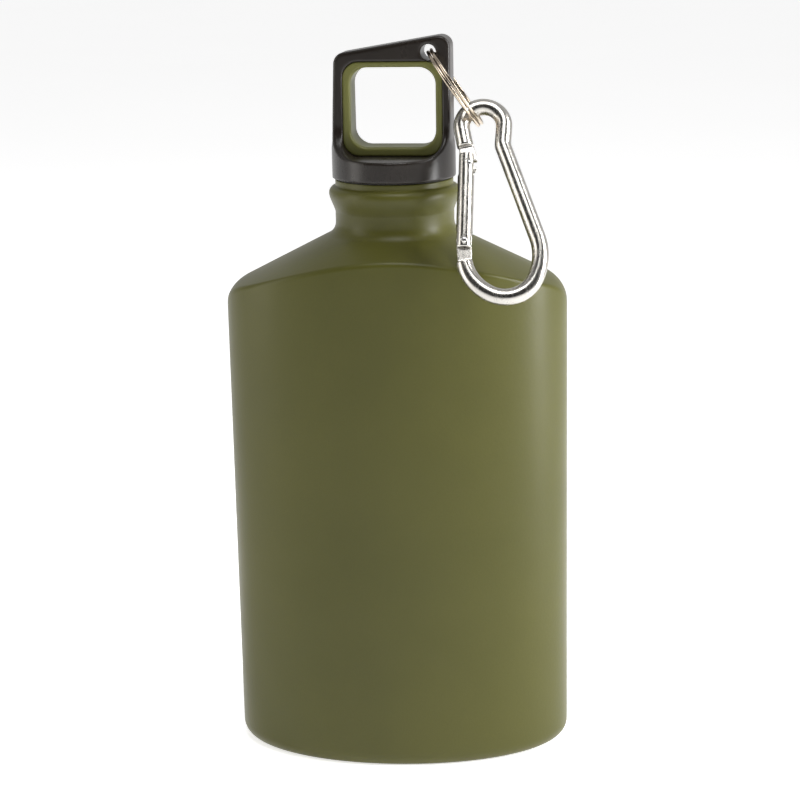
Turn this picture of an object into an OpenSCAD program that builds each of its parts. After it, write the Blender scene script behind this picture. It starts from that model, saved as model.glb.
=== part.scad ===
// Flat aluminium canteen with a loop stopper, a split ring and a snap hook.
// Millimetres. +Z is up, +X is the wide direction and -Y is the front.
// The origin is the centre of the flask at the level that it stands on.

/* [Flask] */
// Width of the flask from side to side
flask_w = 96; // [92:1:100]
// Depth of the flask from front to back
flask_d = 54; // [52:1:58]
// Height at which the shoulder cone reaches the sides
shoulder_z = 134.9; // [132:0.1:136]
// Rise of the shoulder for each millimetre towards the middle
shoulder_slope = 0.51; // [0.49:0.005:0.53]
// Rounding of the upper side corners
corner_r = 8; // [5:0.5:10]
// Rounding of the bottom edge at the sides
base_r = 4.5; // [3:0.5:6]
// Depth of the recess under the base
base_recess = 1.4; // [1:0.1:2]
// Thickness of the aluminium
wall = 0.9; // [0.8:0.05:1.1]

/* [Neck] */
// Outer radius of the neck
neck_r = 16.6; // [16.5:0.05:16.8]
// Outer radius of the rolled bead
bead_r = 18.25; // [17.8:0.05:18.6]
// Height of the widest line of the bead
bead_z = 161.6; // [161.2:0.1:162]
// Height of the mouth
mouth_z = 165.3; // [165.2:0.05:165.35]
// Rise of the screw thread in one turn
thread_pitch = 4; // [3.8:0.1:4]

/* [Stopper] */
// Turn of the stopper about the neck from square, as it was last done up
cap_turn = -5; // [-6:0.5:-4]
// Radius of the round skirt
skirt_r = 17.2; // [17.1:0.05:17.3]
// Height of the lower edge of the skirt
skirt_z = 165.6; // [165.5:0.05:165.7]
// Height of the front edge of the skirt, where the scoop starts
scoop_z = 171.4; // [171:0.1:171.6]
// Half thickness of the finger loop at its foot
loop_foot = 5.3; // [5.1:0.1:5.5]
// Half thickness of the finger loop at its top
loop_tip = 4.2; // [4:0.1:4.4]
// Outer width of the coloured liner
liner_w = 27.7; // [27.2:0.1:27.8]
// Mean thickness of the liner's rim
liner_t = 2.05; // [1.95:0.05:2.15]
// Height of the underside of the liner
liner_z = 171.7; // [171.6:0.05:171.75]
// Outer height of the liner
liner_h = 25.8; // [25.6:0.1:25.8]
// Radius of the hole for the split ring
ring_hole_r = 2.15; // [2.1:0.05:2.25]

/* [Split ring] */
// Radius of the ring at the middle of its wire
ring_r = 12.15; // [12.1:0.05:12.2]
// Diameter of the ring's wire
ring_wire = 1.05; // [0.95:0.05:1.1]

/* [Snap hook] */
// Diameter of the hook's rod and of its gate
rod_d = 4.5; // [4.3:0.1:4.6]
// Lean of the hook out from the neck, over the shoulder
hook_lean = 31.6; // [31.5:0.1:32]
// Thickness of the flat tongues at the two ends of the rod
tongue_t = 1.5; // [1.3:0.1:1.6]

/* [Hidden] */
$fn = 128;

olive = "#6b6d3c";
liner_olive = "#7c7f42";
black = "#28231f";
nickel = "#c9bda8";
bright = "#c8cacc";
grey = "#4a4a4a";

// Flask
half_w = flask_w / 2;
half_d = flask_d / 2;
arc_steps = 6;
shoulder_angle = atan(shoulder_slope);
neck_in_r = neck_r - wall;
foot_w = 4.5;
foot_sink = 0.03;
flare_r = 4;

// Neck insert, plug and seal
insert_r = neck_in_r - 0.02;
insert_root_r = 14.5;
insert_z = 151.6;
plug_r = 12.6;
plug_crest_r = 14.2;
insert_crest_r = 12.9;
plug_z = 150.4;
plug_in_r = 10.4;
plug_top_z = 168.9;
plug_roof = 2.4;
thread_z = 152.6;
thread_turns = 2.25;
thread_steps = 40;
seal_z = mouth_z + 0.02;
seal_top_z = 166.2;
seal_r = 16.2;
fit = 0.02;

// Cap
loop_right = 16.6;
loop_left_foot = 16.4;
loop_left_top = 15.7;
cap_top_left = 199.55;
cap_top_right = 204.9;
cap_corner_r = 3.2;
liner_x = 0.57;
liner_corner_r = 4.6;
window_shift = [0.12, 0.42];
window_corner_r = 4.7;
scoop_top_z = 180.5;
waist_low_z = 171.4;
waist_z = 176;
loop_tip_z = 206;
seal_gap = 0.15;
hole_pos = [10.6, 199.9];

// Split ring: the hole holds its top, and it points down and out from there
hole_point = [hole_pos[0] * cos(cap_turn), hole_pos[0] * sin(cap_turn), hole_pos[1]];
ring_out = 34.5;
ring_lean = 8;
ring_yaw = 3;
ring_dir = [sin(ring_out) * cos(ring_lean), -sin(ring_lean), -cos(ring_out) * cos(ring_lean)];
ring_side = unit(cross_out([sin(ring_yaw), -cos(ring_yaw), 0], ring_dir));
ring_axis = cross(ring_dir, ring_side);
ring_centre = hole_point + ring_r * ring_dir;
ring_steps = 64;

// Snap hook, drawn flat in X and Z with its origin at the crown of the rod
rod_r = rod_d / 2;
rod_sides = 24;
hook_pos = [25.2, -7.2, 184.8];
frame_start = [-5.05, -44.8];
frame_heading = 12;
// Rod from hinge to nose, each entry a straight length, a bend radius and a bend angle
frame_run = [
    [0, 13.2, 52], [0, 8.6, 90], [0, 16.1, 45], [27.5, 0, 0],
    [0, 2.6, -23], [4.8, 0, 0], [0, 5.75, 195], [5.1, 0, 0]
];
gate_lean = 1.2;
pivot = [-5.05, -38.9];
pivot_r = 0.8;
latch_up = 22.3;
latch_side = 0.8;
latch_r = 0.7;
latch_gap = latch_r + 0.12;
gate_up = 25.1;
gate_down = 2.1;
slot_w = tongue_t + 0.3;
slot_up = 18.9;
cam_up = 2;
bore_r = 1.3;
plunger_z = cam_up + 0.05;
plunger_h = 3.4;
spring_r = 1.02;
spring_wire = 0.36;
spring_top = 13.2;
spring_turns = 8;

function unit(v) = v / norm(v);
// Part of v that is square to the unit vector d
function cross_out(v, d) = v - (v * d) * d;

// Points of an arc about c, from angle a to angle b
function arc(c, r, a, b, n = arc_steps) =
    [for (i = [0:n]) c + r * [cos(a + (b - a) * i / n), sin(a + (b - a) * i / n)]];

// Height of the shoulder cone at a radius
function shoulder_at(r) = shoulder_z + shoulder_slope * (half_w - r);

// ---- Flask ----

// Half section of the can, which is squeezed to an ellipse in Y
function can_section(w, floor_z, r, top) = concat(
    arc([w - r, floor_z + r], r, -90, 0),
    [[w, top], [0, top]]
);

// Can with elliptical section; its bottom edge is rounded
module can(w, d, floor_z, r, top) {
    scale([1, d / w, 1])
        rotate_extrude()
            polygon(concat([[0, floor_z]], can_section(w, floor_z, r, top)));
}

// Half section of shoulder and neck; inset moves it inwards by the wall
function shoulder_section(inset) = let (
    drop = inset / cos(shoulder_angle),
    side = half_w - inset,
    r = corner_r - inset,
    bend = 90 - shoulder_angle,
    corner_z = shoulder_z - drop + shoulder_slope * inset,
    corner = [side - r, corner_z - r * tan(bend / 2)],
    neck = neck_r - inset,
    fr = flare_r + inset,
    foot = [neck + fr, shoulder_at(neck) - drop + fr * tan(bend / 2)]
) concat(
    [[0, -1], [side, -1]],
    arc(corner, r, 0, bend),
    arc(foot, fr, 270 - shoulder_angle, 180)
);

module shoulder_body(inset, neck_top) {
    rotate_extrude()
        polygon(concat(shoulder_section(inset), neck_top));
}

// Outline of the bead, from the neck up to the mouth
bead_outline = [
    [neck_r, 156.4], [neck_r + 0.35, 157.4], [bead_r - 0.5, 159.4], [bead_r - 0.08, 160.7],
    [bead_r, bead_z], [bead_r - 0.2, 162.4], [bead_r - 0.8, 163.1], [neck_r + 0.1, 163.5],
    [neck_r - 0.15, 163.8], [neck_r - 0.15, mouth_z - 0.25], [neck_r - 0.4, mouth_z],
    [0, mouth_z]
];

// Recess inside the foot rim, and the level at which the rim is cut flat
module base_hollow() {
    rim = half_w - base_r - foot_w;
    scale([1, half_d / half_w, 1])
        rotate_extrude()
            polygon([[0, -foot_sink], [rim, -foot_sink], [rim, 0], [rim - 2.5, base_recess], [0, base_recess]]);
    translate([0, 0, -1])
        cylinder(r = half_w, h = 1);
}

module flask_shell() {
    color(olive)
        difference() {
            intersection() {
                can(half_w, half_d, -foot_sink, base_r, mouth_z + 5);
                shoulder_body(0, bead_outline);
            }
            intersection() {
                can(half_w - wall, half_d - wall, base_recess + wall, base_r - wall, mouth_z + 6);
                shoulder_body(wall, [[neck_in_r, mouth_z + 1], [0, mouth_z + 1]]);
            }
            base_hollow();
        }
}

// ---- Screw thread ----

// Ridge that winds up a cylinder; its root is sunk into the wall that carries it
module ridge(root, crest, z, turns) {
    steps = ceil(turns * thread_steps);
    root_half = 0.95;
    crest_half = 0.5;
    fade = 6;
    // Height of the ridge above its wall fades in and out at the two ends
    function grow(i) = min(1, min(i, steps - i) / fade + 0.08);
    function ring(i) = let (
        a = 360 * turns * i / steps,
        lift = z + thread_pitch * turns * i / steps,
        c = root + (crest - root) * grow(i)
    ) [for (p = [[root, -root_half], [c, -crest_half], [c, crest_half], [root, root_half]])
        [p[0] * cos(a), p[0] * sin(a), p[1] + lift]];
    points = [for (i = [0:steps]) each ring(i)];
    inward = crest < root;
    sides = [for (i = [0:steps - 1]) for (k = [0:3]) let (
        a = 4 * i + k,
        b = 4 * i + (k + 1) % 4
    ) each [[a, b, b + 4], [a, b + 4, a + 4]]];
    caps = [[0, 3, 2], [0, 2, 1],
        [4 * steps, 4 * steps + 1, 4 * steps + 2], [4 * steps, 4 * steps + 2, 4 * steps + 3]];
    faces = concat(sides, caps);
    polyhedron(points, inward ? [for (f = faces) [f[0], f[2], f[1]]] : faces, convexity = 8);
}

module neck_thread_insert() {
    color(grey) {
        difference() {
            translate([0, 0, insert_z])
                cylinder(r = insert_r, h = mouth_z - insert_z - 0.3);
            translate([0, 0, insert_z - 1])
                cylinder(r = insert_root_r, h = mouth_z - insert_z + 2);
        }
        ridge(insert_root_r + 0.2, insert_crest_r, thread_z + thread_pitch / 2, thread_turns);
    }
}

// ---- Stopper ----

module stopper_plug() {
    color(black) {
        difference() {
            translate([0, 0, plug_z])
                cylinder(r = plug_r, h = plug_top_z - plug_z);
            translate([0, 0, plug_z - 1])
                cylinder(r = plug_in_r, h = plug_top_z - plug_z - plug_roof + 1);
        }
        ridge(plug_r - 0.2, plug_crest_r, thread_z, thread_turns);
    }
}

module sealing_ring() {
    color("#1d1d1d")
        difference() {
            translate([0, 0, seal_z])
                cylinder(r = seal_r, h = seal_top_z - seal_z);
            translate([0, 0, seal_z - 1])
                cylinder(r = plug_r + fit, h = seal_top_z - seal_z + 2);
        }
}

// Plate with round corners in X and Z, as far in front of Y = 0 as behind it
module slab(x0, x1, z0, z1, r, depth) {
    translate([0, depth, 0])
        rotate([90, 0, 0])
            linear_extrude(2 * depth)
                rounded(x0, x1, z0, z1, r);
}

module rounded(x0, x1, z0, z1, r) {
    polygon(concat(
        arc([x1 - r, z0 + r], r, -90, 0),
        arc([x1 - r, z1 - r], r, 0, 90),
        arc([x0 + r, z1 - r], r, 90, 180),
        arc([x0 + r, z0 + r], r, 180, 270)
    ));
}

// Side view of the loop, whose top climbs to the right
module loop_outline() {
    climb = atan((cap_top_right - cap_top_left) / (loop_right + loop_left_top));
    wide = skirt_r + 1;
    r = cap_corner_r;
    left_z = cap_top_left - r * tan((90 - climb) / 2);
    right_z = cap_top_right - r * tan((90 + climb) / 2);
    polygon(concat(
        [[-wide, skirt_z], [wide, skirt_z], [wide, waist_low_z], [loop_right, waist_z]],
        arc([loop_right - r, right_z], r, 0, 90 + climb),
        arc([r - loop_left_top, left_z], r, 90 + climb, 180),
        [[-loop_left_foot, waist_z], [-wide, waist_low_z]]
    ));
}

// End view of the cap: the skirt is scooped away towards the thin loop
module scoop_outline() {
    run = skirt_r - loop_foot;
    rise = scoop_top_z - scoop_z;
    half = concat(
        [[skirt_r + 1, skirt_z - 1], [skirt_r + 1, scoop_z]],
        [for (i = [0:8]) let (a = 90 * i / 8)
            [skirt_r - run * sin(a), scoop_z + rise * (1 - cos(a))]],
        [[loop_tip, loop_tip_z]]
    );
    last = len(half) - 1;
    polygon(concat(half, [for (i = [last:-1:0]) [-half[i][0], half[i][1]]]));
}

module scoop_solid() {
    rotate([90, 0, 90])
        translate([0, 0, -25])
            linear_extrude(50)
                scoop_outline();
}

// Outer shape of the liner, drawn in by an inset
module liner_block(inset, depth) {
    slab(liner_x - liner_w / 2 + inset, liner_x + liner_w / 2 - inset, liner_z + inset,
        liner_z + liner_h - inset, liner_corner_r, depth);
}

// Opening for a finger, a little off the middle of the liner
module window(depth) {
    translate([window_shift[0], 0, window_shift[1]])
        slab(liner_x - liner_w / 2 + liner_t, liner_x + liner_w / 2 - liner_t, liner_z + liner_t,
            liner_z + liner_h - liner_t, window_corner_r, depth);
}

module cap_shell() {
    color(black)
        rotate([0, 0, cap_turn])
            difference() {
                intersection() {
                    translate([0, 30, 0])
                        rotate([90, 0, 0])
                            linear_extrude(60)
                                loop_outline();
                    scoop_solid();
                    translate([0, 0, skirt_z])
                        cylinder(r = skirt_r, h = 40);
                }
                liner_block(0, 30);
                translate([hole_pos[0], 30, hole_pos[1]])
                    rotate([90, 0, 0])
                        cylinder(r = ring_hole_r, h = 60);
                translate([0, 0, skirt_z - 1])
                    cylinder(r = plug_r + fit, h = plug_top_z + fit - skirt_z + 1);
                translate([0, 0, skirt_z - 1])
                    cylinder(r = seal_r + seal_gap, h = seal_top_z + fit - skirt_z + 1);
            }
}

// The liner stands in the window of the loop and follows the taper of its faces
module cap_loop_liner() {
    color(liner_olive)
        rotate([0, 0, cap_turn])
            intersection() {
                difference() {
                    liner_block(fit, 20);
                    window(21);
                }
                rotate([90, 0, 90])
                    translate([0, 0, -25])
                        linear_extrude(50)
                            polygon([
                                [-loop_foot, 170], [loop_foot, 170],
                                [loop_tip - 0.1, loop_tip_z], [0.1 - loop_tip, loop_tip_z]
                            ]);
            }
}

// ---- Split ring ----

// Wire wound twice round, with a short step where one coil passes to the other
module split_ring() {
    sides = 8;
    turns = 2;
    steps = turns * ring_steps - 1;
    coil_gap = ring_wire + 0.04;
    function side_step(t) = t < 0.92 ? 0 : t > 1.08 ? 1 : (t - 0.92) / 0.16;
    function wire_ring(i) = let (
        t = turns * i / (steps + 1),
        a = 360 * t + 200,
        out = cos(a) * ring_dir + sin(a) * ring_side,
        mid = ring_centre + ring_r * out + (side_step(t) - 0.5) * coil_gap * ring_axis
    ) [for (k = [0:sides - 1])
        mid + ring_wire / 2 * (cos(360 * k / sides) * out + sin(360 * k / sides) * ring_axis)];
    points = [for (i = [0:steps]) each wire_ring(i)];
    color(nickel)
        sweep(points, sides, steps + 1);
}

// ---- Snap hook ----

module hook_place() {
    translate(hook_pos)
        rotate([-hook_lean, 0, 0])
            children();
}

function heading(i) = i == 0 ? frame_heading : heading(i - 1) + frame_run[i - 1][2];
// Square to the heading, on the side of a positive bend
function square_to(a) = [cos(a), sin(a)];
function along(a) = [sin(a), -cos(a)];
function run_point(i) = i == 0 ? frame_start : let (
    s = frame_run[i - 1],
    a = heading(i - 1),
    side = sign(s[2]) * s[1]
) run_point(i - 1) + s[0] * along(a) + side * (square_to(a) - square_to(a + s[2]));

// Place and heading at a fraction t of piece i
function station(i, t) = let (
    s = frame_run[i],
    a = heading(i),
    side = sign(s[2]) * s[1]
) [run_point(i) + t * s[0] * along(a) + side * (square_to(a) - square_to(a + t * s[2])), a + t * s[2]];
function pieces(i) = max(1, ceil(abs(frame_run[i][2]) / 7));

// Round rod along the whole run
module rod() {
    last = len(frame_run) - 1;
    stations = concat(
        [for (i = [0:last]) for (k = [0:pieces(i) - 1]) station(i, k / pieces(i))],
        [station(last, 1)]
    );
    points = [for (s = stations) for (k = [0:rod_sides - 1]) let (
        q = 360 * k / rod_sides,
        m = s[0] + rod_r * cos(q) * square_to(s[1])
    ) [m[0], rod_r * sin(q), m[1]]];
    sweep(points, rod_sides, len(stations));
}

// Closed tube through rings of points
module sweep(points, sides, rings) {
    walls = [for (i = [0:rings - 2]) for (k = [0:sides - 1]) let (
        a = sides * i + k,
        b = sides * i + (k + 1) % sides
    ) each [[a, b, b + sides], [a, b + sides, a + sides]]];
    ends = [[for (k = [sides - 1:-1:0]) k], [for (k = [0:sides - 1]) sides * (rings - 1) + k]];
    polyhedron(points, concat(walls, ends), convexity = 10);
}

// Flat tongue in X and Z, centred on the hook's plane
module tongue() {
    translate([0, tongue_t / 2, 0])
        rotate([90, 0, 0])
            linear_extrude(tongue_t)
                children();
}

module nose_tongue() {
    end = run_point(len(frame_run));
    latch = pivot + latch_up * [sin(gate_lean), cos(gate_lean)] + latch_side * [cos(gate_lean), -sin(gate_lean)];
    tongue()
        difference() {
            polygon(concat(
                [end + [-1.5, 1], end + [-1.7, -1.6], latch + [-2.2, -0.5]],
                arc(latch + [-0.7, -0.9], 1.45, 180, 270),
                arc(latch + [1, -1.25], 1.1, 270, 360),
                [latch + [2.15, 0.3]],
                arc(latch + [0.9, 2], 1.25, 0, 40),
                [end + [1.9, 1]]
            ));
            translate(latch)
                circle(r = latch_gap, $fn = 24);
            // Way out for the pin, which sinks a little as the gate swings
            translate(latch)
                polygon([[0, -latch_gap], [4, -latch_gap - 0.7], [4, latch_gap], [0, latch_gap]]);
        }
}

// The hinge end is flattened, and its top is round about the pin, where the plunger rides on it
module hinge_tongue() {
    difference() {
        tongue()
            translate(pivot)
                polygon(concat(
                    arc([0, 0], cam_up, 40, 140, 8),
                    arc([-0.2, 0.2], 1.95, 160, 180, 2),
                    [[-1.6, -6.5], [2.2, -6.5], [1.9, 0.2]]
                ));
        translate([pivot[0], 5, pivot[1]])
            rotate([90, 0, 0])
                cylinder(r = pivot_r + 0.04, h = 10, $fn = 32);
    }
}

module carabiner_frame() {
    color(bright)
        hook_place() {
            rod();
            nose_tongue();
            hinge_tongue();
        }
}

// Places its children with Z along the gate, from the hinge pin up
module gate_place() {
    hook_place()
        translate([pivot[0], 0, pivot[1]])
            rotate([0, gate_lean, 0])
                children();
}

module carabiner_gate() {
    color(bright)
        gate_place()
            difference() {
                translate([0, 0, -gate_down])
                    cylinder(r = rod_r, h = gate_up + gate_down);
                // Slot for the nose
                translate([-5, -slot_w / 2, slot_up])
                    cube([10, slot_w, 10]);
                // Slot for the hinge tongue
                translate([-5, -slot_w / 2, -5])
                    cube([10, slot_w, 5 + cam_up + 0.6]);
                // Bore for spring and plunger
                cylinder(r = bore_r, h = spring_top + 0.2, $fn = 32);
                for (p = [[0, 0, pivot_r], [latch_side, latch_up, latch_r]])
                    translate([p[0], 5, p[1]])
                        rotate([90, 0, 0])
                            cylinder(r = p[2], h = 10, $fn = 32);
            }
}

module cross_pin(x, z, r) {
    half = sqrt(rod_r * rod_r - x * x) - 0.25;
    gate_place()
        translate([x, half, z])
            rotate([90, 0, 0])
                cylinder(r = r, h = 2 * half, $fn = 32);
}

module gate_pivot_pin() {
    color(grey)
        cross_pin(0, 0, pivot_r - 0.01);
}

module gate_latch_pin() {
    color(grey)
        cross_pin(latch_side, latch_up, latch_r - 0.01);
}

module gate_plunger() {
    color(nickel)
        gate_place()
            translate([0, 0, plunger_z]) {
                cylinder(r = bore_r - 0.04, h = plunger_h - 1.4, $fn = 32);
                cylinder(r = 0.7, h = plunger_h, $fn = 32);
            }
}

// Compression spring between the plunger and the end of the bore
module gate_spring() {
    sides = 6;
    start = plunger_z + plunger_h - 1.4 + spring_wire / 2 + 0.03;
    rise = spring_top - spring_wire / 2 - start;
    steps = spring_turns * 14;
    points = [for (i = [0:steps]) let (
        a = 360 * spring_turns * i / steps,
        z = start + rise * i / steps
    ) for (k = [0:sides - 1]) let (
        q = 360 * k / sides,
        r = spring_r + spring_wire / 2 * cos(q)
    ) [r * cos(a), r * sin(a), z + spring_wire / 2 * sin(q)]];
    color(grey)
        gate_place()
            sweep(points, sides, steps + 1);
}

flask_shell();
neck_thread_insert();
cap_shell();
cap_loop_liner();
stopper_plug();
sealing_ring();
split_ring();
carabiner_frame();
carabiner_gate();
gate_pivot_pin();
gate_latch_pin();
gate_plunger();
gate_spring();
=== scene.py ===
"""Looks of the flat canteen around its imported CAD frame.

Shapes are worked out in millimetres in the frame's own axes, and turned to metres as each mesh is made.
Flask, split ring and pins are swept or revolved; stopper, liner and snap hook are drawn as distance fields,
so that every edge has a true fillet, and then meshed.
"""

import json
import math

import bpy
import numpy as np
from mathutils import Matrix, Vector


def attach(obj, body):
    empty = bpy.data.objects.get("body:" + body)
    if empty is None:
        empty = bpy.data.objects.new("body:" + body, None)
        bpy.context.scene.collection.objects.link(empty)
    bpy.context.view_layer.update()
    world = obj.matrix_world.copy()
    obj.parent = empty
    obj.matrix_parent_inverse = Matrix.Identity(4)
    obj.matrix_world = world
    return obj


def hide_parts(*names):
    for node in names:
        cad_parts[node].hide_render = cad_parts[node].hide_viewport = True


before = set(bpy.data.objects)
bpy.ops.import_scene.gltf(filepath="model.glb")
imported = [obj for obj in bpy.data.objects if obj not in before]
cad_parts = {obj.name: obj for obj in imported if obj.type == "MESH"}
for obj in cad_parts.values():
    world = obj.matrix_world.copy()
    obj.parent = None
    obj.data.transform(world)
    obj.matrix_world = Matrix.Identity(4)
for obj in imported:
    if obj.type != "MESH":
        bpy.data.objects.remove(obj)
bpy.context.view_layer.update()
MM = 0.001

# Flask, as in the CAD model
HALF_W, HALF_D = 48.0, 27.0
SHOULDER_Z, SHOULDER_SLOPE = 134.9, 0.51
SHOULDER_ANGLE = math.atan(SHOULDER_SLOPE)
CORNER_R, BASE_R, BASE_RECESS, FOOT_W, WALL = 8.0, 4.5, 1.4, 4.5, 0.9
NECK_R, FLARE_R, MOUTH_Z = 16.6, 4.0, 165.3
RIDGE_SOFT = 1.1
BEAD = [
    (16.6, 156.4), (16.95, 157.4), (17.75, 159.4), (18.17, 160.7), (18.25, 161.6), (18.05, 162.4),
    (17.45, 163.1), (16.7, 163.5), (16.45, 163.8), (16.45, 165.05), (16.2, 165.3),
]
COLUMNS = 360

# Stopper
CAP_TURN = math.radians(-5)
SKIRT_R, SKIRT_Z, SCOOP_Z, SCOOP_TOP_Z = 17.2, 165.6, 171.4, 180.5
LOOP_FOOT, LOOP_TIP, LOOP_TIP_Z = 5.3, 4.2, 206.0
LOOP_RIGHT, LOOP_LEFT_FOOT, LOOP_LEFT_TOP = 16.6, 16.4, 15.7
WAIST_LOW_Z, WAIST_Z = 171.4, 176.0
CAP_TOP_LEFT, CAP_TOP_RIGHT, CAP_CORNER_R = 199.55, 204.9, 3.2
LINER_W, LINER_H, LINER_Z, LINER_R, LINER_T = 27.7, 25.8, 171.7, 4.6, 2.05
LINER_X, WINDOW_SHIFT, WINDOW_R = 0.57, (0.12, 0.42), 4.7
RING_HOLE, RING_HOLE_R = (10.6, 199.9), 2.15
SEAL_BORE_R, SEAL_BORE_Z = 16.35, 166.22
PLUG_BORE_R, PLUG_BORE_Z = 12.62, 168.92

# Split ring
RING_R, RING_WIRE, RING_COIL_GAP, RING_SQUARE = 12.15, 1.05, 0.04, 0.85
# Drawn thinner than the CAD wire, which keeps it clear of the hook at the end of the hook's swing
RING_THIN = 0.87
RING_OUT, RING_LEAN, RING_YAW = (math.radians(a) for a in (34.5, 8, 3))

# Snap hook, drawn flat in X and Z
ROD_R = 2.25
HOOK_POS, HOOK_LEAN = (25.2, -7.2, 184.8), math.radians(-31.6)
FRAME_START, FRAME_HEADING = np.array((-5.05, -44.8)), math.radians(12)
FRAME_RUN = [
    (0, 13.2, 52), (0, 8.6, 90), (0, 16.1, 45), (27.5, 0, 0),
    (0, 2.6, -23), (4.8, 0, 0), (0, 5.75, 195), (5.1, 0, 0),
]
TONGUE_T, PIVOT, PIVOT_R = 1.5, np.array((-5.05, -38.9)), 0.8
GATE_LEAN, GATE_UP, GATE_DOWN = math.radians(1.2), 25.1, 2.1
LATCH_UP, LATCH_SIDE, LATCH_R, LATCH_GAP = 22.3, 0.8, 0.7, 0.82
SLOT_W, SLOT_UP, CAM_UP = 1.8, 18.9, 2.0
BORE_R, BORE_TOP = 1.3, 13.4

# Grid spacing of the meshed distance fields
CAP_STEP, LINER_STEP, ROD_STEP, GATE_STEP = 0.4, 0.3, 0.22, 0.16


# ---- Meshes ----

def mesh_object(name, points, faces):
    """An object from points in millimetres and faces."""
    mesh = bpy.data.meshes.new(name)
    mesh.from_pydata((np.asarray(points, float) * MM).tolist(), [], [list(map(int, f)) for f in faces])
    mesh.validate()
    mesh.polygons.foreach_set("use_smooth", [True] * len(mesh.polygons))
    obj = bpy.data.objects.new(name, mesh)
    bpy.context.scene.collection.objects.link(obj)
    return obj


def finished(obj, body, node, material):
    """The piece takes the place of a CAD node, rides on its body and has its material."""
    obj.data.materials.append(material)
    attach(obj, body)
    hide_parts(node)


def lofted(rings):
    """Points and faces through rings of equal length, closed at both ends."""
    rings = np.asarray(rings, float)
    count, sides = rings.shape[:2]
    i, k = np.meshgrid(np.arange(count - 1), np.arange(sides), indexing="ij")
    a, b = i * sides + k, i * sides + (k + 1) % sides
    faces = np.stack([a, b, b + sides, a + sides], -1).reshape(-1, 4).tolist()
    faces += [list(range(sides))[::-1], [(count - 1) * sides + k for k in range(sides)]]
    return rings.reshape(-1, 3), faces


def surface_net(field, low, high, step):
    """Points and faces of the surface where field(x, y, z) is 0, every point put exactly on it."""
    axes = [np.arange(a - 2 * step, b + 3 * step, step) for a, b in zip(low, high)]
    shape = tuple(len(a) for a in axes)
    d = np.broadcast_to(field(*np.meshgrid(*axes, indexing="ij", sparse=True)), shape)
    inside = d < 0
    corners = sum(
        inside[i:shape[0] - 1 + i, j:shape[1] - 1 + j, k:shape[2] - 1 + k].astype(np.int8)
        for i in (0, 1) for j in (0, 1) for k in (0, 1)
    )
    cell = (corners > 0) & (corners < 8)
    index = np.full(cell.shape, -1)
    index[cell] = np.arange(cell.sum())
    total, hits, quads = np.zeros((cell.sum(), 3)), np.zeros(cell.sum()), []
    for axis in range(3):
        one, two = (axis + 1) % 3, (axis + 2) % 3
        first = np.take(d, np.arange(shape[axis] - 1), axis)
        second = np.take(d, np.arange(1, shape[axis]), axis)
        edge = np.argwhere((first < 0) != (second < 0))
        a, b = first[tuple(edge.T)], second[tuple(edge.T)]
        place = np.stack([axes[c][edge[:, c]] for c in range(3)], 1)
        place[:, axis] += step * a / (a - b)
        around = []
        for back_one, back_two in ((1, 1), (0, 1), (0, 0), (1, 0)):
            at = edge.copy()
            at[:, one] -= back_one
            at[:, two] -= back_two
            around.append(index[tuple(at.T)])
        for v in around:
            hits += np.bincount(v, minlength=len(hits))
            for c in range(3):
                total[:, c] += np.bincount(v, weights=place[:, c], minlength=len(hits))
        quad = np.stack(around, 1)
        quads.append(np.where((a < 0)[:, None], quad, quad[:, ::-1]))
    points = total / hits[:, None]
    small = step * 0.02
    for _ in range(5):
        value = field(*points.T)
        slope = np.stack([
            (field(*(points + small * e).T) - field(*(points - small * e).T)) / (2 * small) for e in np.eye(3)
        ], 1)
        steep = np.maximum((slope ** 2).sum(1), 0.2)
        points = points - np.clip(value / steep, -step, step)[:, None] * slope
    return points, np.concatenate(quads).tolist()


# ---- Distance fields, negative inside ----

def both(a, b, r):
    """Where a and b overlap, with a fillet of radius r on the edge between them."""
    return np.minimum(-r, np.maximum(a, b)) + np.hypot(np.maximum(a + r, 0), np.maximum(b + r, 0))


def either(a, b, r):
    """a and b together, with a fillet of radius r in the corner between them."""
    return -both(-a, -b, r)


def polygon_field(u, v, points):
    """Distance to a closed polygon."""
    points = np.asarray(points, float)
    shape = np.broadcast(u, v).shape
    best, inside = np.full(shape, 1e9), np.zeros(shape, bool)
    for (au, av), (bu, bv) in zip(points, np.roll(points, -1, 0)):
        eu, ev = bu - au, bv - av
        wu, wv = u - au, v - av
        t = np.clip((wu * eu + wv * ev) / (eu * eu + ev * ev), 0, 1)
        best = np.minimum(best, (wu - eu * t) ** 2 + (wv - ev * t) ** 2)
        inside ^= ((av <= v) != (bv <= v)) & (u < au + wv * (eu / ev if ev else 0))
    return np.where(inside, -1, 1) * np.sqrt(best)


def rectangle_field(u, v, u0, u1, v0, v1, r):
    """Distance to a rectangle with corners of radius r."""
    qu = np.abs(u - (u0 + u1) / 2) - (u1 - u0) / 2 + r
    qv = np.abs(v - (v0 + v1) / 2) - (v1 - v0) / 2 + r
    return np.hypot(np.maximum(qu, 0), np.maximum(qv, 0)) + np.minimum(np.maximum(qu, qv), 0) - r


def circle(centre, r, start, end, steps=14):
    """Points of an arc, angles in degrees."""
    return [
        (centre[0] + r * math.cos(math.radians(a)), centre[1] + r * math.sin(math.radians(a)))
        for a in np.linspace(start, end, steps)
    ]


# ---- Flask ----

def smooth_line(points, per_piece=5):
    """Catmull-Rom line through the points."""
    p = np.asarray(points, float)
    p = np.concatenate([2 * p[:1] - p[1:2], p, 2 * p[-1:] - p[-2:-1]])
    out = []
    for i in range(1, len(p) - 2):
        a, b, c, d = p[i - 1:i + 3]
        for t in np.arange(per_piece) / per_piece:
            square, cube = 2 * a - 5 * b + 4 * c - d, 3 * b - a - 3 * c + d
            out.append(0.5 * (2 * b + (c - a) * t + square * t ** 2 + cube * t ** 3))
    return np.array(out + [p[-2]])


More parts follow.
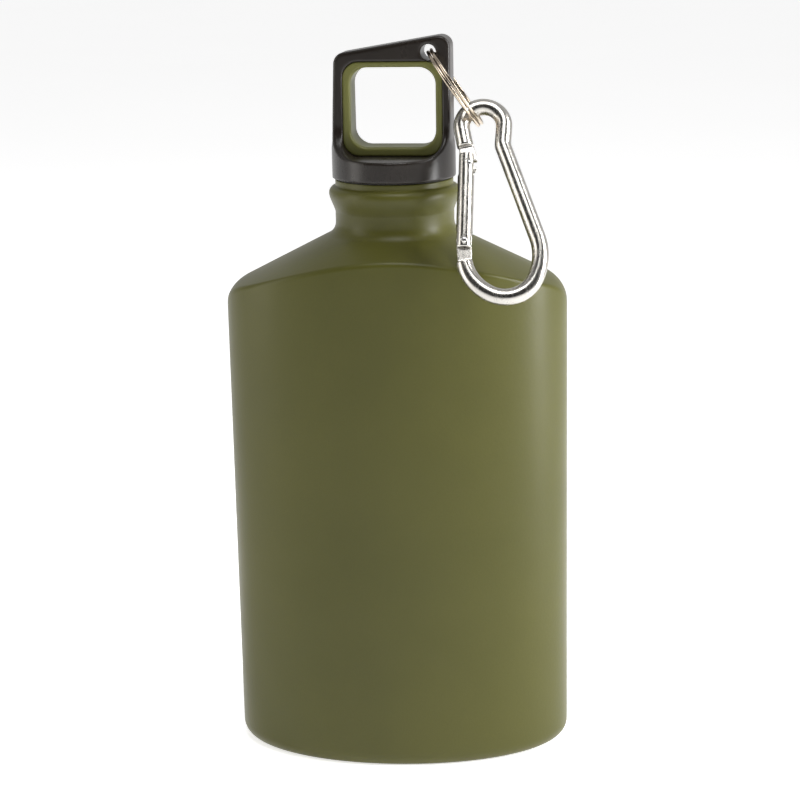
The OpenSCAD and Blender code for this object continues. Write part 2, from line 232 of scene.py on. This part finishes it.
def shoulder_line(inset):
    """Line of the shoulder in a section through the axis, from the side of the can in to the neck."""
    drop = inset / math.cos(SHOULDER_ANGLE)
    side, r = HALF_W - inset, CORNER_R - inset
    bend = math.pi / 2 - SHOULDER_ANGLE
    corner = (side - r, SHOULDER_Z - drop + SHOULDER_SLOPE * inset - r * math.tan(bend / 2))
    neck, flare = NECK_R - inset, FLARE_R + inset
    foot_z = SHOULDER_Z + SHOULDER_SLOPE * (HALF_W - neck) - drop + flare * math.tan(bend / 2)
    line = circle(corner, r, 0, math.degrees(bend), 24)
    line += circle((neck + flare, foot_z), flare, 270 - math.degrees(SHOULDER_ANGLE), 180, 18)
    return np.array([(side, corner[1] - 40)] + line)


def resampled(line, places):
    """Points of a line at these lengths along it."""
    length = np.concatenate([[0], np.cumsum(np.hypot(*np.diff(line, axis=0).T))])
    return np.stack([np.interp(places, length, line[:, c]) for c in range(2)], -1)


def can_columns(inset, floor_z, upper):
    """Rings of the squeezed can from its floor to the neck: wall, soft ridge, shoulder cone and flare.
    upper holds the line of the neck above the flare."""
    half_w, half_d, r = HALF_W - inset, HALF_D - inset, BASE_R - inset
    line = shoulder_line(inset)
    length = np.concatenate([[0], np.cumsum(np.hypot(*np.diff(line, axis=0).T))])
    phi = np.linspace(0, 2 * math.pi, COLUMNS, endpoint=False)
    wall_x, wall_y = half_w * np.cos(phi), half_d * np.sin(phi)
    reach, theta = np.hypot(wall_x, wall_y), np.arctan2(wall_y, wall_x)
    rings = []
    for angle in np.radians(np.linspace(-90, 0, 12)):
        k = (half_w - r + r * math.cos(angle)) / half_w
        z = floor_z + r + r * math.sin(angle)
        rings.append(np.stack([wall_x * k, wall_y * k, np.full(COLUMNS, z)], 1))
    # Length along the line at which it passes over the can's wall, for each column
    fine = np.linspace(0, length[-1], 6000)
    fine_r = resampled(line, fine)[:, 0]
    meet = np.interp(-np.minimum(reach, half_w - 1e-6), -fine_r, fine)
    meet_z = resampled(line, meet)[:, 1]
    for t in np.linspace(0, 1, 26)[1:]:
        z = floor_z + r + t * (meet_z - RIDGE_SOFT - floor_z - r)
        rings.append(np.stack([wall_x, wall_y, z], 1))
    after = resampled(line, meet + RIDGE_SOFT)
    for t in np.linspace(0, 1, 8)[1:]:
        radius = (1 - t) ** 2 * reach + 2 * t * (1 - t) * reach + t * t * after[:, 0]
        z = (1 - t) ** 2 * (meet_z - RIDGE_SOFT) + 2 * t * (1 - t) * meet_z + t * t * after[:, 1]
        rings.append(np.stack([radius * np.cos(theta), radius * np.sin(theta), z], 1))
    for t in np.linspace(0, 1, 70)[1:]:
        p = resampled(line, meet + RIDGE_SOFT + t * (length[-1] - meet - RIDGE_SOFT))
        rings.append(np.stack([p[:, 0] * np.cos(theta), p[:, 0] * np.sin(theta), p[:, 1]], 1))
    for radius, z in upper:
        rings.append(np.stack([radius * np.cos(theta), radius * np.sin(theta), np.full(COLUMNS, z)], 1))
    return rings


def make_flask(material):
    outer = can_columns(0, 0, smooth_line(BEAD))
    squeeze = HALF_D / HALF_W
    phi = np.linspace(0, 2 * math.pi, COLUMNS, endpoint=False)
    rim = HALF_W - BASE_R - FOOT_W
    under = [
        (2.0, BASE_RECESS), (rim * 0.5, BASE_RECESS), (rim - 3.2, BASE_RECESS),
        (rim - 2.2, BASE_RECESS - 0.15), (rim - 0.5, 0.15), (rim + 0.5, 0.0), (rim + 2.2, 0.0),
    ]
    below = [np.stack([r * np.cos(phi), r * squeeze * np.sin(phi), np.full(COLUMNS, z)], 1)
             for r, z in smooth_line(under, 3)]
    inner_top = [(NECK_R - WALL, 156.0), (NECK_R - WALL, MOUTH_Z - 0.2)]
    inner = can_columns(WALL, BASE_RECESS + WALL, inner_top)[::-1]
    points, faces = lofted(below + outer + inner)
    finished(mesh_object("flask_body", points, faces), "flask", "flask_shell", material)


# ---- Stopper ----

def loop_outline():
    climb = math.degrees(math.atan((CAP_TOP_RIGHT - CAP_TOP_LEFT) / (LOOP_RIGHT + LOOP_LEFT_TOP)))
    r = CAP_CORNER_R
    left_z = CAP_TOP_LEFT - r * math.tan(math.radians(90 - climb) / 2)
    right_z = CAP_TOP_RIGHT - r * math.tan(math.radians(90 + climb) / 2)
    wide = SKIRT_R + 1
    return (
        [(-wide, SKIRT_Z - 5), (wide, SKIRT_Z - 5), (wide, WAIST_LOW_Z), (LOOP_RIGHT, WAIST_Z)]
        + circle((LOOP_RIGHT - r, right_z), r, 0, 90 + climb)
        + circle((r - LOOP_LEFT_TOP, left_z), r, 90 + climb, 180)
        + [(-LOOP_LEFT_FOOT, WAIST_Z), (-wide, WAIST_LOW_Z)]
    )


def scoop_outline():
    run, rise = SKIRT_R - LOOP_FOOT, SCOOP_TOP_Z - SCOOP_Z
    half = [(SKIRT_R + 1, SKIRT_Z - 5), (SKIRT_R + 1, SCOOP_Z)]
    half += [
        (SKIRT_R - run * math.sin(a), SCOOP_Z + rise * (1 - math.cos(a)))
        for a in np.radians(np.linspace(0, 90, 28))
    ]
    half.append((LOOP_TIP, LOOP_TIP_Z + 5))
    return half + [(-y, z) for y, z in half[::-1]]


def turned(points):
    """From the stopper's own axes to the frame's."""
    x, y, z = points.T
    c, s = math.cos(CAP_TURN), math.sin(CAP_TURN)
    return np.stack([c * x - s * y, s * x + c * y, z], 1)


def liner_block(x, z, inset):
    """Outer shape of the liner, drawn in by an inset."""
    half = LINER_W / 2 - inset
    return rectangle_field(x - LINER_X, z, -half, half, LINER_Z + inset, LINER_Z + LINER_H - inset, LINER_R)


def cap_field(x, y, z):
    loop = polygon_field(x, z, LOOP_OUTLINE)
    scoop = polygon_field(y, z, SCOOP_OUTLINE)
    reach = np.hypot(x, y)
    body = both(loop, scoop, 0.8)
    body = both(body, reach - SKIRT_R, 0.5)
    body = both(body, SKIRT_Z - z, 0.4)
    body = both(body, -liner_block(x, z, 0), 0.3)
    hole = np.hypot(x - RING_HOLE[0], z - RING_HOLE[1]) - RING_HOLE_R
    body = both(body, -hole, 0.5)
    seal = both(reach - SEAL_BORE_R, z - SEAL_BORE_Z, 0.2)
    plug = both(reach - PLUG_BORE_R, z - PLUG_BORE_Z, 0.2)
    return both(body, -np.minimum(seal, plug), 0.15)


def liner_field(x, y, z):
    half = LINER_W / 2 - LINER_T
    window = rectangle_field(
        x - LINER_X - WINDOW_SHIFT[0], z - WINDOW_SHIFT[1], -half, half, LINER_Z + LINER_T,
        LINER_Z + LINER_H - LINER_T, WINDOW_R,
    )
    lean = (LOOP_FOOT - LOOP_TIP + 0.1) / (LOOP_TIP_Z - 170)
    face = np.abs(y) - (LOOP_FOOT - lean * (z - 170))
    return both(both(liner_block(x, z, 0.02), face, 0.25), -window, 0.85)


def make_stopper(black, olive):
    low, high = (-SKIRT_R, -SKIRT_R, SKIRT_Z), (SKIRT_R, SKIRT_R, CAP_TOP_RIGHT)
    points, faces = surface_net(cap_field, low, high, CAP_STEP)
    cap = mesh_object("stopper_cap", turned(points), faces)
    finished(cap, "stopper", "cap_shell", black)
    low = (LINER_X - LINER_W / 2, -LOOP_FOOT, LINER_Z)
    high = (LINER_X + LINER_W / 2, LOOP_FOOT, LINER_Z + LINER_H)
    points, faces = surface_net(liner_field, low, high, LINER_STEP)
    liner = mesh_object("loop_liner", turned(points), faces)
    finished(liner, "stopper", "cap_loop_liner", olive)


# ---- Split ring ----

def make_ring(material):
    level = math.cos(RING_LEAN)
    way = Vector((math.sin(RING_OUT) * level, -math.sin(RING_LEAN), -math.cos(RING_OUT) * level))
    yaw = Vector((math.sin(RING_YAW), -math.cos(RING_YAW), 0))
    side = (yaw - yaw.dot(way) * way).normalized()
    axis = way.cross(side)
    hole = Vector((RING_HOLE[0] * math.cos(CAP_TURN), RING_HOLE[0] * math.sin(CAP_TURN), RING_HOLE[1]))
    centre = np.array(hole + RING_R * way)
    way, side, axis = np.array(way), np.array(side), np.array(axis)
    turns, per_turn, sides = 2, 180, 20
    gap = RING_WIRE + RING_COIL_GAP
    q = np.linspace(0, 2 * math.pi, sides, endpoint=False)
    # Wire slightly squared, as split rings are rolled
    radial = np.sign(np.cos(q)) * np.abs(np.cos(q)) ** RING_SQUARE
    across = np.sign(np.sin(q)) * np.abs(np.sin(q)) ** RING_SQUARE
    rings = []
    last = turns * per_turn - 3
    for i in range(last + 1):
        t = i / per_turn
        a = 2 * math.pi * t + math.radians(200)
        out = math.cos(a) * way + math.sin(a) * side
        step = min(1, max(0, (t - 0.92) / 0.16))
        step = step * step * (3 - 2 * step)
        middle = centre + RING_R * out + (step - 0.5) * gap * axis
        shrink = 0.72 if i in (0, last) else 0.93 if i in (1, last - 1) else 1
        r = RING_THIN * RING_WIRE / 2 * shrink
        rings.append(middle + r * (radial[:, None] * out + across[:, None] * axis))
    points, faces = lofted(rings)
    finished(mesh_object("split_ring_wire", points, faces), "key_ring", "split_ring", material)


# ---- Snap hook ----

def along(a):
    return np.array((math.sin(a), -math.cos(a)))


def square_to(a):
    return np.array((math.cos(a), math.sin(a)))


def frame_pieces():
    """Each piece of the rod: its start, heading, length, signed bend radius and bend."""
    out, at, heading = [], FRAME_START, FRAME_HEADING
    for length, radius, bend in FRAME_RUN:
        bend = math.radians(bend)
        side = math.copysign(radius, bend) if bend else 0
        out.append((at, heading, length, side, bend))
        at = at + length * along(heading) + side * (square_to(heading) - square_to(heading + bend))
        heading += bend
    return out, at, heading


def piece_distance(u, v, piece):
    """Distance in the hook's plane to one piece of the rod's middle line."""
    start, heading, length, side, bend = piece
    if not bend:
        d = along(heading)
        t = np.clip((u - start[0]) * d[0] + (v - start[1]) * d[1], 0, length)
        return np.hypot(u - start[0] - t * d[0], v - start[1] - t * d[1])
    centre = start + side * square_to(heading)
    end = centre - side * square_to(heading + bend)
    angle = np.arctan2((v - centre[1]) * -np.sign(side), (u - centre[0]) * -np.sign(side))
    off = (angle - heading - bend / 2 + math.pi) % (2 * math.pi) - math.pi
    on_arc = np.abs(np.hypot(u - centre[0], v - centre[1]) - abs(side))
    at_ends = np.minimum(np.hypot(u - start[0], v - start[1]), np.hypot(u - end[0], v - end[1]))
    return np.where(np.abs(off) <= abs(bend) / 2, on_arc, at_ends)


PIECES, NOSE_END, NOSE_HEADING = frame_pieces()
LATCH = PIVOT + LATCH_UP * np.array((math.sin(GATE_LEAN), math.cos(GATE_LEAN)))
LATCH = LATCH + LATCH_SIDE * np.array((math.cos(GATE_LEAN), -math.sin(GATE_LEAN)))
LOOP_OUTLINE, SCOOP_OUTLINE = loop_outline(), scoop_outline()
NOSE_OUTLINE = (
    [NOSE_END + (-1.5, 1), NOSE_END + (-1.7, -1.6), LATCH + (-2.2, -0.5)]
    + circle(LATCH + (-0.7, -0.9), 1.45, 180, 270)
    + circle(LATCH + (1, -1.25), 1.1, 270, 360)
    + [LATCH + (2.15, 0.3)]
    + circle(LATCH + (0.9, 2), 1.25, 0, 40)
    + [NOSE_END + (1.9, 1)]
)
MOUTH_OUTLINE = np.array([(0, -LATCH_GAP), (4, -LATCH_GAP - 0.7), (4, LATCH_GAP), (0, LATCH_GAP)])
HINGE_OUTLINE = (
    [PIVOT + p for p in circle((0, 0), CAM_UP, 40, 140)]
    + [PIVOT + p for p in circle((-0.2, 0.2), 1.95, 160, 180, 4)]
    + [PIVOT + (-1.6, -6.5), PIVOT + (2.2, -6.5), PIVOT + (1.9, 0.2)]
)


def hook_field(x, y, z):
    first, last = PIECES[0], PIECES[-1]
    rod = np.hypot(np.minimum.reduce([piece_distance(x, z, p) for p in PIECES[1:-1]]), y) - ROD_R
    start_way = along(FRAME_HEADING)
    start_cut = -((x - FRAME_START[0]) * start_way[0] + (z - FRAME_START[1]) * start_way[1])
    rod = np.minimum(rod, both(np.hypot(piece_distance(x, z, first), y) - ROD_R, start_cut, 0.45))
    nose_cut = (x - NOSE_END[0]) * along(NOSE_HEADING)[0] + (z - NOSE_END[1]) * along(NOSE_HEADING)[1]
    rod = np.minimum(rod, both(np.hypot(piece_distance(x, z, last), y) - ROD_R, nose_cut, 0.45))
    flat = np.abs(y) - TONGUE_T / 2
    nose = both(polygon_field(x, z, NOSE_OUTLINE), flat, 0.25)
    hook_gap = np.hypot(x - LATCH[0], z - LATCH[1]) - LATCH_GAP
    mouth = polygon_field(x, z, LATCH + MOUTH_OUTLINE)
    nose = both(nose, -np.minimum(hook_gap, mouth), 0.15)
    hinge = both(polygon_field(x, z, HINGE_OUTLINE), flat, 0.2)
    hinge = both(hinge, PIVOT_R + 0.04 - np.hypot(x - PIVOT[0], z - PIVOT[1]), 0.1)
    return either(either(rod, nose, 0.35), hinge, 0.35)


def gate_field(x, y, z):
    ends = np.abs(z - (GATE_UP - GATE_DOWN) / 2) - (GATE_UP + GATE_DOWN) / 2
    body = both(np.hypot(x, y) - ROD_R, ends, 0.4)
    in_slot = np.abs(y) - SLOT_W / 2
    body = both(body, -np.maximum(in_slot, SLOT_UP - z), 0.15)
    body = both(body, -np.maximum(in_slot, z - CAM_UP - 0.6), 0.15)
    bore = np.maximum(np.hypot(x, y) - BORE_R, np.maximum(z - BORE_TOP, -z))
    pivot = np.hypot(x, z) - PIVOT_R
    latch = np.hypot(x - LATCH_SIDE, z - LATCH_UP) - LATCH_R
    return both(np.maximum(body, -bore), -np.minimum(pivot, latch), 0.1)


def hook_placed(points, on_gate=False):
    """From the hook's plane, or from the gate's own axes, to the frame's."""
    place = Matrix.Translation(HOOK_POS) @ Matrix.Rotation(HOOK_LEAN, 4, "X")
    if on_gate:
        place = place @ Matrix.Translation((PIVOT[0], 0, PIVOT[1])) @ Matrix.Rotation(GATE_LEAN, 4, "Y")
    m = np.array(place)
    return points @ m[:3, :3].T + m[:3, 3]


def make_pin(name, side, up, r, node, material):
    """Rivet across the gate, its two ends peened to low domes."""
    half = math.sqrt(ROD_R ** 2 - side ** 2) - 0.25
    line = [
        (0.0, half + 0.16), (r * 0.35, half + 0.15), (r * 0.7, half + 0.09), (r * 0.93, half),
        (r, half - 0.12),
    ]
    line = line + [(a, -b) for a, b in line[::-1]]
    sides, tip_r = 32, 0.02
    q = np.linspace(0, 2 * math.pi, sides, endpoint=False)
    rings = []
    for a, b in line:
        a = max(a, tip_r)
        rings.append(np.stack([a * np.cos(q) + side, np.full(sides, b), a * np.sin(q) + up], 1))
    points, faces = lofted(rings)
    finished(mesh_object(name, hook_placed(points, True), faces), "gate", node, material)


def make_hook(aluminium, steel):
    points, faces = surface_net(hook_field, (-9, -ROD_R, -60), (19, ROD_R, 4), ROD_STEP)
    rod = mesh_object("hook_rod", hook_placed(points), faces)
    finished(rod, "hook", "carabiner_frame", aluminium)
    low, high = (-ROD_R, -ROD_R, -GATE_DOWN), (ROD_R, ROD_R, GATE_UP)
    points, faces = surface_net(gate_field, low, high, GATE_STEP)
    gate = mesh_object("hook_gate", hook_placed(points, True), faces)
    finished(gate, "gate", "carabiner_gate", aluminium)
    make_pin("pivot_rivet", 0, 0, PIVOT_R - 0.01, "gate_pivot_pin", steel)
    make_pin("latch_rivet", LATCH_SIDE, LATCH_UP, LATCH_R - 0.01, "gate_latch_pin", steel)


# ---- Materials ----

class Look:
    """A material on a Principled shader, with helpers that add nodes."""

    def __init__(self, name, metallic=0.0, specular=0.5):
        self.material = bpy.data.materials.new(name)
        self.material.use_nodes = True
        self.nodes, self.links = self.material.node_tree.nodes, self.material.node_tree.links
        self.shader = self.nodes["Principled BSDF"]
        self.shader.inputs["Metallic"].default_value = metallic
        self.shader.inputs["Specular IOR Level"].default_value = specular
        self.where = self.nodes.new("ShaderNodeTexCoord").outputs["Object"]

    def scaled(self, scale):
        """Object coordinates stretched by a scale on each axis."""
        node = self.nodes.new("ShaderNodeMapping")
        node.inputs["Scale"].default_value = scale
        self.links.new(self.where, node.inputs["Vector"])
        return node.outputs["Vector"]

    def noise(self, scale, detail=3.0, rough=0.5, vector=None):
        node = self.nodes.new("ShaderNodeTexNoise")
        node.inputs["Scale"].default_value = scale
        node.inputs["Detail"].default_value = detail
        node.inputs["Roughness"].default_value = rough
        self.links.new(vector or self.where, node.inputs["Vector"])
        return node.outputs["Fac"]

    def ramp(self, fac, stops):
        """Colour ramp; stops are (place, grey or colour)."""
        node = self.nodes.new("ShaderNodeValToRGB")
        self.links.new(fac, node.inputs["Fac"])
        ramp = node.color_ramp
        while len(ramp.elements) < len(stops):
            ramp.elements.new(0.5)
        for element, (place, colour) in zip(ramp.elements, stops):
            element.position = place
            element.color = (*colour, 1) if isinstance(colour, tuple) else (colour, colour, colour, 1)
        return node.outputs["Color"]

    def mixed(self, fac, a, b, kind="MIX"):
        node = self.nodes.new("ShaderNodeMix")
        node.data_type, node.blend_type = "RGBA", kind
        for socket, value in ((node.inputs["Factor"], fac), (node.inputs["A"], a), (node.inputs["B"], b)):
            if isinstance(value, bpy.types.NodeSocket):
                self.links.new(value, socket)
            else:
                socket.default_value = value if socket.type == "VALUE" else (*value, 1)
        return node.outputs["Result"]

    def colour(self, socket):
        self.links.new(socket, self.shader.inputs["Base Color"])

    def roughness(self, socket):
        self.links.new(socket, self.shader.inputs["Roughness"])

    def bump(self, height, strength, distance):
        """Adds a layer of bump over the ones already there; distance is in metres."""
        node = self.nodes.new("ShaderNodeBump")
        node.inputs["Strength"].default_value = strength
        node.inputs["Distance"].default_value = distance
        self.links.new(height, node.inputs["Height"])
        normal = self.shader.inputs["Normal"]
        if normal.is_linked:
            self.links.new(normal.links[0].from_socket, node.inputs["Normal"])
        self.links.new(node.outputs["Normal"], normal)


def powder_coat():
    """Satin olive powder coat: fine orange peel, faint mottling and handling marks."""
    look = Look("olive_powder_coat", specular=0.26)
    cloud = look.ramp(look.noise(22, 4), [(0.35, (0.07, 0.069, 0.012)), (0.65, (0.079, 0.077, 0.014))])
    grain = look.ramp(look.noise(2600, 2), [(0.35, (0.9, 0.9, 0.9)), (0.65, (1, 1, 1))])
    look.colour(look.mixed(0.5, cloud, grain, "MULTIPLY"))
    smudge = look.noise(35, 5, 0.6)
    look.roughness(look.ramp(smudge, [(0.3, 0.33), (0.7, 0.41)]))
    look.bump(look.noise(1100, 2, 0.4), 0.35, 0.00005)
    look.bump(look.noise(3600, 2, 0.5), 0.25, 0.00002)
    return look.material


def moulded(name, dark, light, rough=(0.24, 0.34), grain=1500):
    """Moulded plastic: fine erosion texture from the tool, faint flow marks and scuffs."""
    look = Look(name, specular=0.38)
    look.colour(look.ramp(look.noise(60, 4), [(0.3, dark), (0.7, light)]))
    scuffs = look.noise(90, 6, 0.65, look.scaled((1, 1, 0.35)))
    look.roughness(look.ramp(scuffs, [(0.35, rough[0]), (0.7, rough[1])]))
    look.bump(look.noise(grain, 3, 0.55), 0.25, 0.00003)
    return look.material


def metal(name, dark, light, rough, grain=(1, 1, 1)):
    """Bright metal: tumbled ripple, fine scratches and slightly uneven polish."""
    look = Look(name, metallic=1.0)
    look.colour(look.ramp(look.noise(180, 4), [(0.3, dark), (0.7, light)]))
    fine = look.noise(900, 5, 0.6, look.scaled(grain))
    look.roughness(look.ramp(fine, [(0.3, rough[0]), (0.7, rough[1])]))
    look.bump(look.noise(260, 3, 0.5), 0.25, 0.00006)
    look.bump(fine, 0.25, 0.000015)
    return look.material


def dress(node, material):
    """A CAD node that stays shown takes a material of its own."""
    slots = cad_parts[node].material_slots
    for place in slots:
        place.link = "OBJECT"
        place.material = material


# ---- The object ----

make_flask(powder_coat())
black = moulded("black_satin_plastic", (0.012, 0.009, 0.007), (0.017, 0.013, 0.01))
olive = moulded("olive_liner_plastic", (0.11, 0.112, 0.026), (0.13, 0.132, 0.032), (0.36, 0.46))
make_stopper(black, olive)
make_ring(metal("ring_nickel_plate", (0.48, 0.4, 0.31), (0.58, 0.5, 0.4), (0.16, 0.26)))
aluminium = metal("tumbled_aluminium", (0.5, 0.48, 0.45), (0.6, 0.58, 0.54), (0.2, 0.3), (1, 1, 0.3))
steel = metal("rivet_steel", (0.5, 0.5, 0.5), (0.62, 0.62, 0.62), (0.22, 0.34))
make_hook(aluminium, steel)
dress("neck_thread_insert", moulded("grey_insert_plastic", (0.035, 0.035, 0.034), (0.05, 0.05, 0.048)))
dress("stopper_plug", moulded("black_plug_plastic", (0.016, 0.014, 0.013), (0.024, 0.021, 0.019)))
rubber = moulded("seal_rubber_face", (0.012, 0.012, 0.012), (0.02, 0.02, 0.02), (0.6, 0.72), 900)
dress("sealing_ring", rubber)
dress("gate_plunger", metal("plunger_brass_turned", (0.55, 0.4, 0.16), (0.68, 0.5, 0.22), (0.2, 0.32)))
dress("gate_spring", metal("spring_wire_steel", (0.42, 0.42, 0.42), (0.55, 0.55, 0.55), (0.22, 0.34)))


# ---- Stage, lights and camera ----

def make_stage():
    reach = 15.0
    mesh = bpy.data.meshes.new("floor")
    corners = [(-reach, -reach, 0), (reach, -reach, 0), (reach, reach, 0), (-reach, reach, 0)]
    mesh.from_pydata(corners, [], [(0, 1, 2, 3)])
    floor = bpy.data.objects.new("floor", mesh)
    bpy.context.scene.collection.objects.link(floor)
    look = Look("pale_floor", specular=0.1)
    look.colour(look.ramp(look.noise(3, 2), [(0.3, (0.9, 0.9, 0.9)), (0.7, (0.92, 0.92, 0.92))]))
    look.shader.inputs["Roughness"].default_value = 0.9
    look.shader.inputs["Emission Color"].default_value = (1, 1, 1, 1)
    look.shader.inputs["Emission Strength"].default_value = FLOOR_GLOW
    mesh.materials.append(look.material)


def area_light(name, place, aim, size, power, colour=(1, 1, 1)):
    data = bpy.data.lights.new(name, "AREA")
    data.shape, data.size, data.size_y = "RECTANGLE", size[0], size[1]
    data.energy, data.color = power, colour
    light = bpy.data.objects.new(name, data)
    bpy.context.scene.collection.objects.link(light)
    light.location = place
    light.rotation_euler = (Vector(aim) - Vector(place)).to_track_quat("-Z", "Y").to_euler()


def make_world():
    """White backdrop for the camera. Light and reflections see a studio dim in front and pale behind."""
    world = bpy.data.worlds.new("studio")
    bpy.context.scene.world = world
    world.use_nodes = True
    nodes, links = world.node_tree.nodes, world.node_tree.links
    studio = nodes["Background"]
    way, split, ramp = (nodes.new(f"ShaderNode{kind}") for kind in ("TexCoord", "SeparateXYZ", "ValToRGB"))
    depth = nodes.new("ShaderNodeMapRange")
    depth.inputs["From Min"].default_value = -1
    links.new(way.outputs["Generated"], split.inputs["Vector"])
    links.new(split.outputs["Y"], depth.inputs["Value"])
    links.new(depth.outputs["Result"], ramp.inputs["Fac"])
    first, last = ramp.color_ramp.elements
    first.position, first.color = 0.3, (*[FRONT_GREY] * 3, 1)
    last.position, last.color = 0.75, (*[BACK_GREY] * 3, 1)
    links.new(ramp.outputs["Color"], studio.inputs["Color"])
    backdrop = nodes.new("ShaderNodeBackground")
    backdrop.inputs["Color"].default_value = (1, 1, 1, 1)
    path, mix = nodes.new("ShaderNodeLightPath"), nodes.new("ShaderNodeMixShader")
    links.new(path.outputs["Is Camera Ray"], mix.inputs["Fac"])
    links.new(studio.outputs["Background"], mix.inputs[1])
    links.new(backdrop.outputs["Background"], mix.inputs[2])
    links.new(mix.outputs["Shader"], nodes["World Output"].inputs["Surface"])


def make_camera():
    yaw, pitch, roll = (math.radians(a) for a in CAMERA_ANGLES)
    forward = Vector((-math.sin(yaw) * math.cos(pitch), math.cos(yaw) * math.cos(pitch), -math.sin(pitch)))
    right = Vector((math.cos(yaw), math.sin(yaw), 0))
    up = right.cross(forward)
    across = math.cos(roll) * right + math.sin(roll) * up
    upward = math.cos(roll) * up - math.sin(roll) * right
    data = bpy.data.cameras.new("camera")
    data.sensor_width, data.lens = 36, CAMERA_LENS
    data.clip_start, data.clip_end = 0.01, 100
    camera = bpy.data.objects.new("camera", data)
    bpy.context.scene.collection.objects.link(camera)
    place = Matrix((across, upward, -forward)).transposed().to_4x4()
    place.translation = CAMERA_PLACE
    camera.matrix_world = place
    bpy.context.scene.camera = camera


# Yaw, pitch and roll in degrees; place in metres, lens in millimetres
CAMERA_ANGLES, CAMERA_PLACE, CAMERA_LENS = (3.823, 14.098, -1.163), (0.03768, -0.55873, 0.24193), 90.81
MIDDLE = (0, 0, 0.11)
FRONT_GREY, BACK_GREY, FLOOR_GLOW = 0.012, 0.6, 0.66
make_stage()
make_world()
area_light("left_softbox", (-0.8, -0.25, 0.3), MIDDLE, (0.35, 0.9), 2.8, (1, 0.97, 0.92))
area_light("right_strip", (0.68, -0.12, 0.3), MIDDLE, (0.14, 0.9), 9.5)
area_light("top_softbox", (0.05, -0.3, 0.95), MIDDLE, (0.4, 0.4), 3)
make_camera()
bpy.context.scene.view_settings.view_transform = "Standard"
